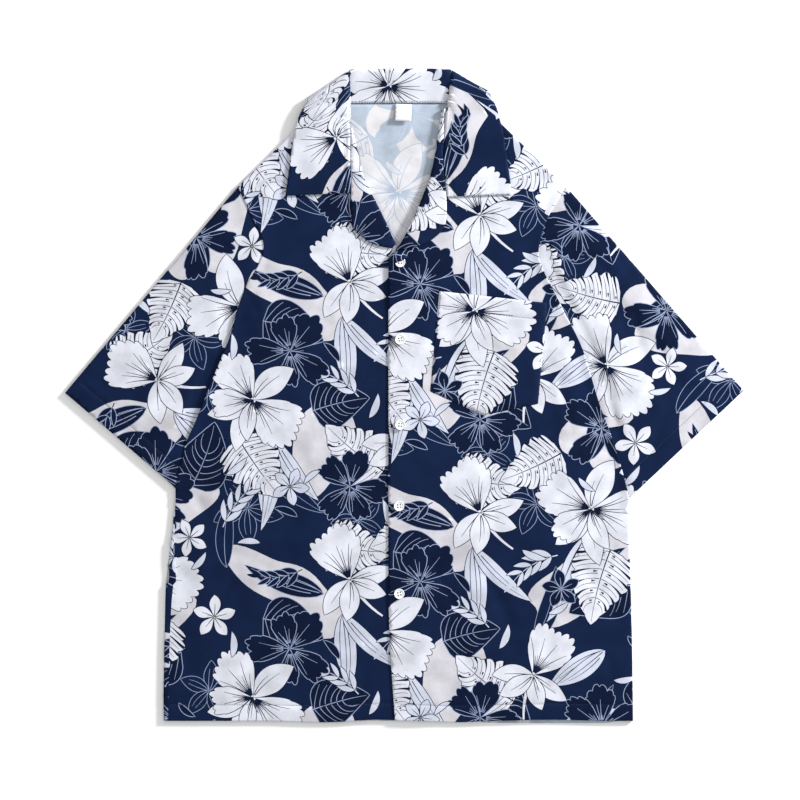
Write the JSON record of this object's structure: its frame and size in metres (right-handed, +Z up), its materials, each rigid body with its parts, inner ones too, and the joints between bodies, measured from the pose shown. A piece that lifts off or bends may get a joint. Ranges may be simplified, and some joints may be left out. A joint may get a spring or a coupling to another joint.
{
  "type": "hawaiian shirt",
  "caption": "Short-sleeved camp collar shirt with a patch pocket, buttoned and laid flat on its back, in a navy and white leaf and flower print.",
  "frame": {"origin": "on the ground, under the middle of the shirt's outline seen from above", "axes": "+X to the right seen from above, which is the wearer's left; +Y from the hem to the neck; +Z up, out of the front"},
  "size_m": [0.771, 0.7424, 0.0093],
  "materials": {
    "printed_cloth": "smooth plain-weave polyester with a soft sheen, printed with white and navy flowers and leaves",
    "collar_cloth": "the same printed cloth over an interfacing",
    "label_cloth": "woven satin tape, bare",
    "button_resin": "pearly white polyester resin, polished"
  },
  "bodies": {
    "root": {"back": "printed_cloth", "front_under": "printed_cloth", "front_over": "printed_cloth", "sleeve_left": "printed_cloth", "sleeve_right": "printed_cloth", "facing_under": "printed_cloth", "facing_over": "printed_cloth", "collar": "collar_cloth", "pocket": "printed_cloth", "neck_label": "label_cloth", "button_1": "button_resin", "button_2": "button_resin", "button_3": "button_resin", "button_4": "button_resin", "button_5": "button_resin"}
  },
  "joints": []
}
